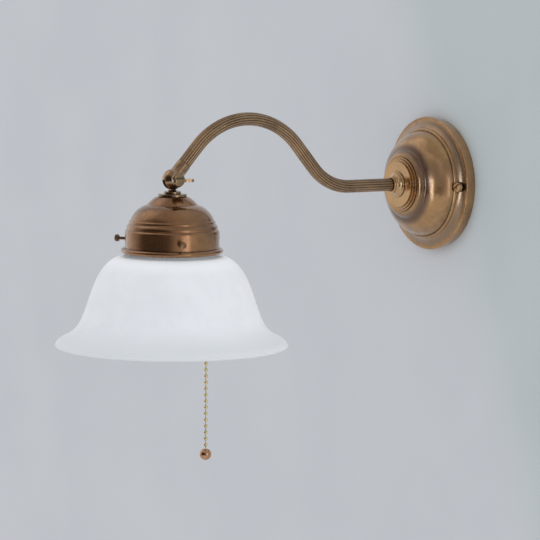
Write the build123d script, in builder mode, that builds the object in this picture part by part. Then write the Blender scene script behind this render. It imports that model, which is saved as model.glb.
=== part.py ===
"""Wall sconce: a reeded swan-neck arm carries a tilting head with an opal glass bell shade.

Lengths are in millimetres and angles in degrees. The wall is the plane Y = 0 and the lamp
stands out from it towards -Y, with +Z up. The origin is the middle of the rose's back.
"""

import os
from math import asin, cos, degrees, radians, sin

from build123d import *

os.makedirs("parts", exist_ok=True)

# ---------------------------------------------------------------- driving dimensions
# Wall rose, turned about the Y axis. Depths are measured out from the wall.
rose_radius = 60.0
rose_taper = 1.2
rose_edge_depth = 9.6
rose_edge_round = 0.7
rose_wall = 1.6
rose_flange_thickness = 2.0
rose_lip_width = 2.0
rose_cove_width = 7.8
rose_cove_rise = 3.4
rose_cove_hollow = 0.7
rose_bead_width = 2.6
rose_bead_rise = 2.6
rose_swell_bulge = 3.2
rose_nose_depth = 43.0
rose_nose_radius = 20.6
rose_step_width = 1.9
rose_step_drop = 1.45
rose_roll_width = 5.2
rose_roll_rise = 5.0
rose_valley_width = 3.0

# Wall bracket inside the rose
strap_width = 20.0
strap_thickness = 2.0
strap_ear_length = 10.0
fixing_spacing = 60.0
fixing_slot_width = 4.5
fixing_slot_length = 10.0
rose_screw_radius = 2.0
rose_screw_head_radius = 4.5
rose_screw_head_height = 4.4
rose_screw_seat_drop = 0.6
rose_screw_slot_width = 1.3
rose_screw_slot_depth = 1.3
rose_screw_slot_turn = 35.0
terminal_tab_width = 28.0
terminal_tab_drop = 24.0

# Terminal block and earth screw
terminal_poles = 3
terminal_pitch = 8.0
terminal_height = 16.0
terminal_depth = 12.0
terminal_gap = 5.0
clamp_radius = 2.25
clamp_bore = 1.4
clamp_screw_radius = 1.25
earth_screw_offset = 14.0
earth_screw_radius = 2.0

# Arm: a straight run from the rose, a rise to the crest and a fall to the knuckle
arm_radius = 5.8
arm_bore_radius = 4.2
arm_reeds = 16
arm_reed_depth = 0.55
arm_rise_corner = (-119.0, 0.0)
arm_crest_corner = (-202.5, 97.0)
arm_rise_bend = 50.0
arm_crest_bend = 68.0

# Collar, hollow nipple and its fixings at the rose's nose
collar_flange_radius = 11.5
collar_flange_thickness = 1.5
collar_length = 7.4
collar_mouth_radius = 7.0
nipple_radius = 4.0
nipple_bore = 2.9
nipple_nut_flats = 13.0
nipple_nut_height = 4.0
nipple_washer_radius = 9.0
nipple_washer_thickness = 1.2
nipple_grip = 14.0
nipple_tail = 3.0

# Flexes
flex_radius = 2.6
lead_radius = 0.8
lead_bend = 5.0

# Knuckle
knuckle_y = -279.0
knuckle_z = 12.2
ball_radius = 9.0
cheek_face = 8.3
cheek_boss_radius = 4.8
ferrule_radius = 6.3
ferrule_end = 16.6
spigot_length = 7.0
slot_width = 4.1
tongue_thickness = 3.9
tongue_radius = 6.2
tongue_width = 4.8
tilt_outward = 60.0
tilt_inward = 40.0
tilt_spare = 5.0
pivot_screw_radius = 2.0
neck_radius = 4.6
flange_radius = 7.4
flange_top = 2.5
stud_radius = 5.0
stud_bore = 2.9
stud_end = -16.0
thumb_dome_radius = 6.2
thumb_dome_height = 3.4
wing_span = 21.8
wing_reach = 11.2
wing_root_width = 5.2
wing_thickness = 2.6

# Washer and gallery, turned about the head's axis. Heights are measured on Z. A point is a
# radius and a height, and a pair of points is an arc's middle and its end. The dome's and the
# beads' points have a step in from the gallery's radius instead of a radius.
washer_radius = 12.45
washer_thickness = 2.8
gallery_wall = 1.0
gallery_crown_radius = 14.2
gallery_cone = ((17.6, -5.3), (20.9, -8.4))
gallery_ledge = ((20.9, -9.0), (21.6, -9.4))
gallery_dome = ((10.6, -13.9), (4.8, -22.3))
gallery_beads = (((3.75, -23.3), (3.55, -25.5)), ((2.05, -27.2), (1.55, -30.5)))
gallery_last_bead = (0.3, -31.7)
gallery_shoulder_z = -33.4
gallery_radius = 40.5
gallery_rim_z = -48.7
gallery_rim_roll = 2.3
gallery_nut_flats = 15.0
gallery_nut_height = 3.5

# Gallery screws
gallery_screw_angles = (-20.9, 99.1, 219.1)
gallery_screw_z = -39.8
gallery_screw_radius = 1.35
gallery_screw_head_radius = 3.05
gallery_screw_head_length = 3.6
gallery_screw_head_gap = 8.1

# Opal glass shade. Its bell runs through these points, a radius and a height each, from the
# turn below the neck to the lip. The turn's points have a step out from the neck instead.
glass_thickness = 3.2
shade_radius = 100.0
shade_lip_z = -129.7
shade_neck_step = 1.5
shade_neck_z = -49.4
shade_collar_gap = 1.1
shade_top_z = -35.6
shade_collar_height = 2.6
shade_collar_round = 0.6
shade_turn = ((1.4, -52.2), (4.7, -53.5))
shade_shoulder = ((51.9, -57.1), (59.5, -64.7), (64.2, -72.3))
shade_flare = ((69.4, -85.0), (75.6, -103.1), (80.8, -113.8), (90.9, -122.4), (97.3, -126.0))

# Lamp holder for an E27 bulb
holder_radius = 19.5
holder_top = -9.5
holder_boss_radius = 9.0
holder_boss_height = 3.0
holder_shoulder_z = -22.0
holder_shoulder_bulge = 2.2
holder_wall = 1.1
holder_rim_height = 1.8
holder_rim_step = 0.9
holder_cap_end = -30.0
holder_end = -74.0
core_top = -33.0
core_end = -52.0
socket_radius = 13.4
socket_wall = 0.6
socket_end = -72.5
contact_radius = 4.0
contact_thickness = 1.8

# Pull switch and bead chain
chain_offset = 34.9
switch_top = -60.0
switch_bottom = -72.0
switch_width = 14.0
guide_bore = 2.4
guide_radius = 3.3
guide_mouth_radius = 4.4
guide_end = -78.2
plunger_radius = 1.1
plunger_end_radius = 1.3
plunger_top = -64.0
chain_pivot_z = -79.6
bead_radius = 1.82
bead_pitch = 5.47
bead_count = 26
last_bead_z = -219.9
link_radius = 0.45
knob_radius = 5.1
knob_z = -228.2

# Named clearances
running = 0.08
loose = 0.1
parting = 0.3

# ---------------------------------------------------------------- shared planes and axes
# In TURNED a sketch's x is a radius about the Y axis and its y is the depth from the wall.
TURNED = Plane(origin=(0, 0, 0), x_dir=(1, 0, 0), z_dir=(0, 0, -1))
# In HEAD a sketch's x is a radius about the head's axis and its y is the height on Z.
HEAD = Plane(origin=(0, knuckle_y, 0), x_dir=(1, 0, 0), z_dir=(0, -1, 0))
HEAD_AXIS = Axis((0, knuckle_y, 0), (0, 0, 1))
knuckle = Vector(0, knuckle_y, knuckle_z)


def wall_plane(depth):
    """A sketch plane parallel to the wall, facing the room, with x along X and y along Z."""
    return Plane(origin=(0, -depth, 0), x_dir=(1, 0, 0), z_dir=(0, -1, 0))


def head_plane(height):
    """A level sketch plane on the head's axis."""
    return Plane(origin=(0, knuckle_y, height), x_dir=(1, 0, 0), z_dir=(0, 0, 1))


def finish(piece, name):
    """Labels a piece and writes it."""
    piece.part.label = name
    export_step(piece.part, f"parts/{name}.step")


def inner_side(points, thickness):
    """The points between the first and the last, moved a wall's thickness inwards and down."""
    moved = []
    for before, here, after in zip(points, points[1:], points[2:]):
        run, drop = after[0] - before[0], before[1] - after[1]
        length = (run**2 + drop**2) ** 0.5
        moved.append((here[0] - thickness * drop / length, here[1] - thickness * run / length))
    return moved


# ---------------------------------------------------------------- wall rose
rose_foot_radius = rose_radius - rose_taper
rose_cove_depth = rose_edge_depth + rose_cove_rise
rose_bead_radius = rose_radius - rose_lip_width - rose_cove_width
rose_bead_depth = rose_cove_depth + rose_bead_rise
rose_swell_radius = rose_bead_radius - rose_bead_width
rose_first_step_radius = rose_nose_radius + 2 * rose_step_width
rose_roll_depth = rose_nose_depth - 3 * rose_step_drop
rose_roll_radius = rose_first_step_radius + rose_roll_width
rose_shoulder_depth = rose_roll_depth - rose_roll_rise
rose_shoulder_radius = rose_roll_radius + rose_valley_width
rose_cavity_radius = rose_foot_radius - rose_wall
rose_flange_back = rose_edge_depth - rose_flange_thickness
rose_screw_offset = rose_bead_radius + rose_cove_width / 4
rose_screw_seat_depth = rose_cove_depth - rose_screw_seat_drop

with BuildPart() as wall_rose:
    with BuildSketch(TURNED):
        with BuildLine():
            edge = Polyline(
                (nipple_radius + loose, rose_nose_depth),
                (nipple_radius + loose, 0),
                (rose_foot_radius, 0),
                (rose_radius, rose_edge_depth - rose_edge_round),
            )
            lip = SagittaArc(
                edge @ 1, (rose_radius - rose_edge_round, rose_edge_depth), -0.3 * rose_edge_round
            )
            face = Line(lip @ 1, (rose_radius - rose_lip_width, rose_edge_depth))
            cove = SagittaArc(face @ 1, (rose_bead_radius, rose_cove_depth), rose_cove_hollow)
            groove = Line(cove @ 1, (rose_bead_radius, rose_cove_depth + rose_bead_rise / 3))
            bead = SagittaArc(
                groove @ 1, (rose_swell_radius, rose_bead_depth), -0.3 * rose_bead_width
            )
            swell = SagittaArc(
                bead @ 1, (rose_shoulder_radius, rose_shoulder_depth), -rose_swell_bulge
            )
            valley = SagittaArc(
                swell @ 1, (rose_roll_radius, rose_roll_depth - rose_roll_rise / 2), rose_valley_width / 5
            )
            roll = SagittaArc(
                valley @ 1, (rose_first_step_radius, rose_roll_depth), -rose_roll_width / 5
            )
            steps = [roll @ 1]
            for count in (1, 2, 3):
                radius, depth = steps[-1].X, rose_roll_depth + count * rose_step_drop
                steps += [Vector(radius, depth), Vector(radius - rose_step_width, depth)]
            Polyline(*steps[:-1], edge @ 0)
        make_face()
    revolve(axis=Axis.Y)
    # The hollow follows the outside a wall's thickness in.
    with BuildSketch(TURNED):
        with BuildLine():
            flange = Polyline(
                (0, 0),
                (rose_cavity_radius, 0),
                (rose_cavity_radius, rose_flange_back),
                (rose_swell_radius - rose_wall, rose_flange_back),
                (rose_swell_radius - rose_wall, rose_bead_depth),
            )
            dome = SagittaArc(
                flange @ 1,
                (rose_shoulder_radius - rose_wall / 3, rose_shoulder_depth - rose_wall),
                -rose_swell_bulge,
            )
            Polyline(
                dome @ 1,
                (rose_nose_radius + rose_wall, rose_roll_depth - rose_wall),
                (rose_nose_radius, rose_roll_depth),
                (rose_nose_radius, rose_nose_depth - rose_wall),
                (0, rose_nose_depth - rose_wall),
                (0, 0),
            )
        make_face()
    revolve(axis=Axis.Y, mode=Mode.SUBTRACT)
    # Spot faces and clearance holes for the two rose screws
    with BuildSketch(wall_plane(rose_screw_seat_depth)):
        with Locations((-rose_screw_offset, 0), (rose_screw_offset, 0)):
            Circle(rose_screw_head_radius + loose)
    extrude(amount=rose_screw_head_height, mode=Mode.SUBTRACT)
    with BuildSketch(wall_plane(0)):
        with Locations((-rose_screw_offset, 0), (rose_screw_offset, 0)):
            Circle(rose_screw_radius + loose)
    extrude(amount=rose_screw_seat_depth, mode=Mode.SUBTRACT)
finish(wall_rose, "wall_rose")

# ---------------------------------------------------------------- wall bracket and rose screws
ear_end = ((rose_cavity_radius - parting) ** 2 - (strap_width / 2) ** 2) ** 0.5
ear_start = ear_end - strap_ear_length

with BuildPart() as wall_bracket:
    with BuildSketch(Plane.XY.offset(-strap_width / 2)):
        with BuildLine():
            Polyline(
                (0, 0),
                (ear_start - strap_thickness, 0),
                (ear_start + strap_thickness / 2, strap_thickness - rose_flange_back),
                (ear_end, strap_thickness - rose_flange_back),
                (ear_end, -rose_flange_back),
                (ear_start, -rose_flange_back),
                (ear_start - strap_thickness * 1.5, -strap_thickness),
                (0, -strap_thickness),
            )
            mirror(about=Plane.YZ)
        make_face()
    extrude(amount=strap_width)
    # Tab that carries the terminal block
    with BuildSketch(wall_plane(0)):
        with Locations((0, -(strap_width + terminal_tab_drop) / 2)):
            RectangleRounded(terminal_tab_width, strap_width + terminal_tab_drop, 3.0)
    extrude(amount=strap_thickness)
    with BuildSketch(wall_plane(0)):
        with GridLocations(fixing_spacing, 0, 2, 1):
            SlotOverall(fixing_slot_length, fixing_slot_width)
        with Locations((-rose_screw_offset, 0), (rose_screw_offset, 0)):
            Circle(rose_screw_radius + running)
        with Locations((earth_screw_offset, 0)):
            Circle(earth_screw_radius + running)
    extrude(amount=rose_flange_back, mode=Mode.SUBTRACT)
finish(wall_bracket, "wall_bracket")

with BuildPart() as rose_screws:
    for side in (-1, 1):
        with BuildSketch(wall_plane(strap_thickness)):
            with Locations((side * rose_screw_offset, 0)):
                Circle(rose_screw_radius)
        extrude(amount=rose_screw_seat_depth - strap_thickness)
        with BuildSketch(wall_plane(rose_screw_seat_depth)):
            with Locations((side * rose_screw_offset, 0)):
                Circle(rose_screw_head_radius)
        extrude(amount=rose_screw_head_height)
    domes = rose_screws.faces().group_by(Axis.Y)[0]
    fillet(domes.edges(), rose_screw_head_radius / 2.5)
    with BuildSketch(wall_plane(rose_screw_seat_depth + rose_screw_head_height)):
        with Locations((-rose_screw_offset, 0), (rose_screw_offset, 0)):
            Rectangle(3 * rose_screw_head_radius, rose_screw_slot_width, rotation=rose_screw_slot_turn)
    extrude(amount=-rose_screw_slot_depth, mode=Mode.SUBTRACT)
finish(rose_screws, "rose_screws")

# ---------------------------------------------------------------- terminal block and earth screw
terminal_width = (terminal_poles + 0.1) * terminal_pitch
terminal_top = -strap_width / 2 - terminal_gap
terminal_mid = terminal_top - terminal_height / 2
clamp_depth = strap_thickness + terminal_depth / 2
clamp_screw_rows = (terminal_top - terminal_height / 4, terminal_top - terminal_height * 3 / 4)

with BuildPart() as terminal_block:
    with BuildSketch(wall_plane(strap_thickness)):
        with Locations((0, terminal_mid)):
            Rectangle(terminal_width, terminal_height)
    extrude(amount=terminal_depth)
    fillet(terminal_block.edges().filter_by(Axis.Y), 1.0)
    with BuildSketch(Plane.XY.offset(terminal_top)):
        with Locations((0, -clamp_depth)):
            with GridLocations(terminal_pitch, 0, terminal_poles, 1):
                Circle(clamp_radius + loose)
    extrude(amount=-terminal_height, mode=Mode.SUBTRACT)
    with BuildSketch(wall_plane(clamp_depth)):
        for row in clamp_screw_rows:
            with Locations((0, row)):
                with GridLocations(terminal_pitch, 0, terminal_poles, 1):
                    Circle(clamp_screw_radius + loose)
    extrude(amount=terminal_depth, mode=Mode.SUBTRACT)
finish(terminal_block, "terminal_block")

with BuildPart() as terminal_clamps:
    with BuildSketch(Plane.XY.offset(terminal_top - 1)):
        with Locations((0, -clamp_depth)):
            with GridLocations(terminal_pitch, 0, terminal_poles, 1):
                Circle(clamp_radius)
                Circle(clamp_bore, mode=Mode.SUBTRACT)
    extrude(amount=2 - terminal_height)
finish(terminal_clamps, "terminal_clamps")

with BuildPart() as terminal_screws:
    with BuildSketch(wall_plane(clamp_depth + clamp_radius + loose / 2)):
        for row in clamp_screw_rows:
            with Locations((0, row)):
                with GridLocations(terminal_pitch, 0, terminal_poles, 1):
                    Circle(clamp_screw_radius)
    extrude(amount=terminal_depth / 2 - clamp_radius - 0.6)
finish(terminal_screws, "terminal_screws")

with BuildPart() as earth_screw:
    with BuildSketch(wall_plane(0.2)):
        with Locations((earth_screw_offset, 0)):
            Circle(earth_screw_radius)
    extrude(amount=strap_thickness + 0.5)
    with BuildSketch(wall_plane(strap_thickness)):
        with Locations((earth_screw_offset, 0)):
            Circle(2 * earth_screw_radius)
    extrude(amount=2.6)
    fillet(earth_screw.faces().sort_by(Axis.Y)[0].edges(), 0.8)
finish(earth_screw, "earth_screw")

# ---------------------------------------------------------------- arm
# The arm runs down its last leg straight at the knuckle's pivot.
crest = Vector(0, *arm_crest_corner)
arm_back = (crest - knuckle).normalized()
collar_seat = rose_nose_depth
tube_start = collar_seat + collar_flange_thickness
tube_end = knuckle + arm_back * ferrule_end


def arm_path(start_depth, end):
    """The arm's centre line from a depth in front of the wall to a point near the knuckle."""
    with BuildLine(Plane.YZ) as line:
        FilletPolyline(
            (-start_depth, 0),
            arm_rise_corner,
            arm_crest_corner,
            (end.Y, end.Z),
            radius=[arm_rise_bend, arm_crest_bend],
        )
    return line.wire()


with BuildPart() as arm_tube:
    with BuildSketch(wall_plane(tube_start)):
        with BuildLine():
            for i in range(arm_reeds):
                left, crown, right = (radians((i + k) * 360 / arm_reeds) for k in (-0.5, 0, 0.5))
                valley_radius = arm_radius - arm_reed_depth
                ThreePointArc(
                    (valley_radius * cos(left), valley_radius * sin(left)),
                    (arm_radius * cos(crown), arm_radius * sin(crown)),
                    (valley_radius * cos(right), valley_radius * sin(right)),
                )
        make_face()
        Circle(arm_bore_radius, mode=Mode.SUBTRACT)
    sweep(path=arm_path(tube_start, tube_end))
finish(arm_tube, "arm_tube")

with BuildPart() as arm_collar:
    with BuildSketch(TURNED):
        with BuildLine():
            seat = Polyline(
                (nipple_radius + loose, tube_start),
                (nipple_radius + loose, collar_seat),
                (collar_flange_radius, collar_seat),
                (collar_flange_radius, collar_seat + 0.9),
                (collar_flange_radius - 0.6, tube_start),
            )
            flare = ThreePointArc(
                seat @ 1,
                (collar_mouth_radius + 1.0, collar_seat + 3.2),
                (collar_mouth_radius, collar_seat + collar_length - 1.0),
            )
            Polyline(
                flare @ 1,
                (collar_mouth_radius - 0.4, collar_seat + collar_length),
                (arm_radius + loose, collar_seat + collar_length),
                (arm_radius + loose, tube_start),
                seat @ 0,
            )
        make_face()
    revolve(axis=Axis.Y)
finish(arm_collar, "arm_collar")

nipple_back = rose_nose_depth - rose_wall - nipple_washer_thickness - nipple_nut_height - nipple_tail
nipple_front = tube_start + nipple_grip
with BuildPart() as arm_nipple:
    with BuildSketch(wall_plane(nipple_back)):
        Circle(nipple_radius)
        Circle(nipple_bore, mode=Mode.SUBTRACT)
    extrude(amount=nipple_front - nipple_back)
finish(arm_nipple, "arm_nipple")

with BuildPart() as nipple_washer:
    with BuildSketch(wall_plane(rose_nose_depth - rose_wall)):
        Circle(nipple_washer_radius)
        Circle(nipple_radius + loose, mode=Mode.SUBTRACT)
    extrude(amount=-nipple_washer_thickness)
finish(nipple_washer, "nipple_washer")

with BuildPart() as nipple_nut:
    with BuildSketch(wall_plane(rose_nose_depth - rose_wall - nipple_washer_thickness)):
        RegularPolygon(nipple_nut_flats / 2, 6, major_radius=False)
        Circle(nipple_radius + running, mode=Mode.SUBTRACT)
    extrude(amount=-nipple_nut_height)
finish(nipple_nut, "nipple_nut")

with BuildPart() as cable_bush:
    with BuildSketch(wall_plane(nipple_back)):
        Circle(nipple_radius + 1)
        Circle(flex_radius + loose, mode=Mode.SUBTRACT)
    extrude(amount=-1.2)
    with BuildSketch(wall_plane(nipple_back)):
        Circle(nipple_bore - loose / 2)
        Circle(flex_radius + loose, mode=Mode.SUBTRACT)
    extrude(amount=6.0)
finish(cable_bush, "cable_bush")

# ---------------------------------------------------------------- flex in the arm and its leads
flex_start = nipple_back - 4.0
flex_end = knuckle + arm_back * (tongue_radius + 1.2)

with BuildPart() as arm_flex:
    with BuildSketch(wall_plane(flex_start)):
        Circle(flex_radius)
    sweep(path=arm_path(flex_start, flex_end))
finish(arm_flex, "arm_flex")

lead_spacing = 2 * lead_radius + loose
with BuildPart() as arm_leads:
    for i in range(terminal_poles):
        pole = i - (terminal_poles - 1) / 2
        start = (pole * lead_spacing, -flex_start, 0)
        turn_out = (pole * lead_spacing, -flex_start + 8, 0)
        turn_down = (pole * terminal_pitch, -clamp_depth, terminal_top + 6.5)
        finish_point = (pole * terminal_pitch, -clamp_depth, terminal_top - 4)
        with BuildLine() as lead_line:
            FilletPolyline(start, turn_out, turn_down, finish_point, radius=lead_bend)
        with BuildSketch(Plane(origin=start, x_dir=(1, 0, 0), z_dir=(0, 1, 0))):
            Circle(lead_radius)
        sweep(path=lead_line.wire())
finish(arm_leads, "arm_leads")

# ---------------------------------------------------------------- knuckle
ALONG_ARM = Plane(origin=knuckle, x_dir=(1, 0, 0), z_dir=arm_back)
ACROSS = Plane(origin=knuckle, x_dir=(0, 1, 0), z_dir=(1, 0, 0))
ARM_AXIS = Axis(knuckle, arm_back)
PIVOT_AXIS = Axis(knuckle, (1, 0, 0))
slot_radius = tongue_radius + parting
stem_half_angle = degrees(asin((tongue_width / 2 + parting) / slot_radius))


def on_tilt_circle(angle, radius):
    """A point in ACROSS at an angle from +Y about the pivot."""
    return (radius * cos(radians(angle)), radius * sin(radians(angle)))


with BuildPart() as knuckle_fork:
    # The ball and its two cheek bosses are turned about the pivot.
    with BuildSketch(Plane(origin=knuckle, x_dir=(1, 0, 0), z_dir=(0, -1, 0))):
        with BuildLine():
            boss_start = (ball_radius**2 - cheek_boss_radius**2) ** 0.5
            ThreePointArc((-boss_start, cheek_boss_radius), (0, ball_radius), (boss_start, cheek_boss_radius))
            Polyline(
                (boss_start, cheek_boss_radius),
                (cheek_face, cheek_boss_radius),
                (cheek_face, 0),
                (-cheek_face, 0),
                (-cheek_face, cheek_boss_radius),
                (-boss_start, cheek_boss_radius),
            )
        make_face()
    revolve(axis=PIVOT_AXIS)
    with BuildSketch(ALONG_ARM.offset(tongue_radius)):
        Circle(ferrule_radius)
    extrude(amount=ferrule_end - tongue_radius)
    fillet(knuckle_fork.edges().sort_by(ARM_AXIS)[-1], 0.5)
    with BuildSketch(ALONG_ARM.offset(ferrule_end)):
        Circle(arm_bore_radius - loose / 2)
    extrude(amount=spigot_length)
    # Cable way through the spigot into the slot
    with BuildSketch(ALONG_ARM):
        Circle(flex_radius + loose)
    extrude(amount=ferrule_end + spigot_length, mode=Mode.SUBTRACT)
    # Slot for the tongue, open as far as its stem swings
    with BuildSketch(ACROSS):
        Circle(slot_radius)
        reach = 2 * ball_radius
        first = -90 - tilt_outward - stem_half_angle - tilt_spare
        last = -90 + tilt_inward + stem_half_angle + tilt_spare
        with BuildLine():
            Polyline(
                (0, 0),
                *[on_tilt_circle(first + (last - first) * k / 4, reach) for k in range(5)],
                close=True,
            )
        make_face()
    extrude(amount=slot_width / 2, both=True, mode=Mode.SUBTRACT)
    with BuildSketch(ACROSS.offset(-2 * ball_radius)):
        Circle(pivot_screw_radius + running)
    extrude(amount=4 * ball_radius, mode=Mode.SUBTRACT)
finish(knuckle_fork, "knuckle_fork")

stem_bottom = knuckle_z - ball_radius - parting
with BuildPart() as knuckle_tongue:
    with BuildSketch(ACROSS):
        Circle(tongue_radius)
        with Locations((0, (stem_bottom - 0.6 - knuckle_z) / 2)):
            Rectangle(tongue_width, knuckle_z - stem_bottom + 0.6)
    extrude(amount=tongue_thickness / 2, both=True)
    with BuildSketch(HEAD):
        with BuildLine():
            Polyline(
                (0, stem_bottom),
                (neck_radius - 0.5, stem_bottom),
                (neck_radius, stem_bottom - 0.4),
                (flange_radius - 0.5, flange_top - 0.3),
                (flange_radius, flange_top - 0.8),
                (flange_radius, 0),
                (stud_radius, 0),
                (stud_radius, stud_end),
                (0, stud_end),
                close=True,
            )
        make_face()
    revolve(axis=HEAD_AXIS)
    with BuildSketch(head_plane(stud_end)):
        Circle(stud_bore)
    extrude(amount=-stud_end + flange_top - 1, mode=Mode.SUBTRACT)
    with BuildSketch(ACROSS.offset(-tongue_thickness)):
        Circle(pivot_screw_radius + running)
    extrude(amount=2 * tongue_thickness, mode=Mode.SUBTRACT)
finish(knuckle_tongue, "knuckle_tongue")

wing_root = cheek_face + loose
with BuildPart() as thumb_screw:
    with BuildSketch(ACROSS.offset(-cheek_face + 0.5)):
        Circle(pivot_screw_radius)
    extrude(amount=cheek_face - 0.5 + wing_root)
    with BuildSketch(ACROSS.offset(wing_root)):
        Circle(thumb_dome_radius)
    extrude(amount=thumb_dome_height)
    fillet(thumb_screw.faces().sort_by(Axis.X)[-1].edges(), 0.6 * thumb_dome_height)
    with BuildSketch(Plane(origin=knuckle, x_dir=(1, 0, 0), z_dir=(0, 0, 1))):
        with BuildLine():
            start = wing_root + thumb_dome_height / 3
            root = wing_root_width / 2
            lobe = 0.43 * wing_span
            Spline(
                (start, -root),
                (start + 0.42 * wing_reach, -lobe),
                (start + 0.92 * wing_reach, -lobe),
                (start + 0.84 * wing_reach, 0),
                (start + 0.92 * wing_reach, lobe),
                (start + 0.42 * wing_reach, lobe),
                (start, root),
            )
            Line((start, root), (start, -root))
        make_face()
    extrude(amount=wing_thickness / 2, both=True)
finish(thumb_screw, "thumb_screw")

# ---------------------------------------------------------------- washer and gallery
with BuildPart() as knuckle_washer:
    with BuildSketch(head_plane(-washer_thickness)):
        Circle(washer_radius)
        Circle(stud_radius + loose, mode=Mode.SUBTRACT)
    extrude(amount=washer_thickness)
    fillet(knuckle_washer.edges().group_by(SortBy.LENGTH)[-1], washer_thickness / 4)
finish(knuckle_washer, "knuckle_washer")

gallery_top = -washer_thickness
gallery_inside = gallery_radius - gallery_wall
shade_collar_radius = gallery_inside - shade_collar_gap
shade_neck_radius = shade_collar_radius - shade_neck_step
dome_points = [(gallery_radius - step, z) for step, z in gallery_dome]
bead_points = [(gallery_radius - step, z) for pair in gallery_beads for step, z in pair]
last_step, last_z = gallery_last_bead
with BuildPart() as gallery:
    with BuildSketch(HEAD):
        with BuildLine():
            crown = Polyline(
                (stud_radius + loose, gallery_top - gallery_wall),
                (stud_radius + loose, gallery_top),
                (gallery_crown_radius, gallery_top),
            )
            cone = ThreePointArc(crown @ 1, *gallery_cone)
            ledge = Polyline(cone @ 1, *gallery_ledge[1:])
            dome = ThreePointArc(ledge @ 1, *dome_points)
            at = dome @ 1
            for middle, end in zip(bead_points[::2], bead_points[1::2]):
                at = ThreePointArc(at, middle, end) @ 1
            last_bead = ThreePointArc(
                at, (gallery_radius - last_step, last_z), (gallery_radius, gallery_shoulder_z)
            )
            side = Polyline(
                last_bead @ 1,
                (gallery_radius, gallery_rim_z),
                (gallery_inside, gallery_rim_z),
                (gallery_inside, gallery_shoulder_z),
            )
            outside = [
                (gallery_crown_radius, gallery_top),
                gallery_cone[1],
                gallery_ledge[1],
                *dome_points,
                *bead_points[1::2],
                (gallery_radius, gallery_shoulder_z),
            ]
            under = inner_side(outside, gallery_wall)
            Polyline(
                side @ 1,
                *reversed(under),
                (gallery_crown_radius - gallery_wall, gallery_top - gallery_wall),
                crown @ 0,
            )
        make_face()
    revolve(axis=HEAD_AXIS)
    # Rolled rim
    with BuildSketch(HEAD):
        with Locations((gallery_inside + gallery_rim_roll - 0.3 * gallery_wall, gallery_rim_z)):
            Circle(gallery_rim_roll)
    revolve(axis=HEAD_AXIS)
    for angle in gallery_screw_angles:
        radial = Plane(
            origin=(0, knuckle_y, gallery_screw_z),
            x_dir=(0, 0, 1),
            z_dir=(cos(radians(angle)), sin(radians(angle)), 0),
        )
        with BuildSketch(radial.offset(gallery_radius - 3 * gallery_wall)):
            Circle(gallery_screw_radius + running)
        extrude(amount=6 * gallery_wall, mode=Mode.SUBTRACT)
finish(gallery, "gallery")

with BuildPart() as gallery_nut:
    with BuildSketch(head_plane(gallery_top - gallery_wall)):
        RegularPolygon(gallery_nut_flats / 2, 6, major_radius=False)
        Circle(stud_radius + loose, mode=Mode.SUBTRACT)
    extrude(amount=-gallery_nut_height)
finish(gallery_nut, "gallery_nut")

screw_tip = shade_neck_radius + parting
gallery_screw_head_start = gallery_radius + gallery_screw_head_gap
for number, angle in enumerate(gallery_screw_angles, start=1):
    radial = Plane(
        origin=(0, knuckle_y, gallery_screw_z),
        x_dir=(0, 0, 1),
        z_dir=(cos(radians(angle)), sin(radians(angle)), 0),
    )
    with BuildPart() as gallery_screw:
        with BuildSketch(radial.offset(screw_tip)):
            Circle(gallery_screw_radius)
        extrude(amount=gallery_screw_head_start - screw_tip)
        with BuildSketch(radial.offset(gallery_screw_head_start)):
            Circle(gallery_screw_head_radius)
        extrude(amount=gallery_screw_head_length)
        rims = gallery_screw.edges().filter_by(GeomType.CIRCLE).group_by(SortBy.RADIUS)[-1]
        chamfer(rims, 0.5)
    finish(gallery_screw, f"gallery_screw_{number}")

# ---------------------------------------------------------------- opal glass shade
lip_radius = glass_thickness / 2
shade_bore = shade_neck_radius - glass_thickness
collar_foot_z = shade_top_z - shade_collar_height
turn_points = [(shade_neck_radius + step, z) for step, z in shade_turn]
bell = [*turn_points, *shade_shoulder, *shade_flare]
inside_bell = inner_side(bell, glass_thickness)
with BuildPart() as glass_shade:
    with BuildSketch(HEAD):
        with BuildLine():
            neck = Polyline(
                (shade_bore, shade_top_z),
                (shade_collar_radius - shade_collar_round, shade_top_z),
                (shade_collar_radius, shade_top_z - shade_collar_round),
                (shade_collar_radius, collar_foot_z + shade_collar_round),
                (shade_neck_radius, collar_foot_z),
                (shade_neck_radius, shade_neck_z),
            )
            turn = ThreePointArc(neck @ 1, *turn_points)
            outer = Spline(turn @ 1, *bell[2:], (shade_radius, shade_lip_z))
            lip = ThreePointArc(
                outer @ 1,
                (shade_radius - lip_radius, shade_lip_z - lip_radius),
                (shade_radius - glass_thickness, shade_lip_z),
            )
            inner = Spline(lip @ 1, *reversed(inside_bell))
            Polyline(
                inner @ 1,
                (shade_bore + glass_thickness / 2, shade_neck_z - 1.6 * glass_thickness),
                (shade_bore, shade_neck_z - glass_thickness / 2),
                neck @ 0,
            )
        make_face()
    revolve(axis=HEAD_AXIS)
finish(glass_shade, "glass_shade")

# ---------------------------------------------------------------- lamp holder
with BuildPart() as head_flex:
    with BuildSketch(head_plane(flange_top - 1.4)):
        Circle(flex_radius)
    extrude(amount=core_top - flange_top + 1.4 + loose)
finish(head_flex, "head_flex")

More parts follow.
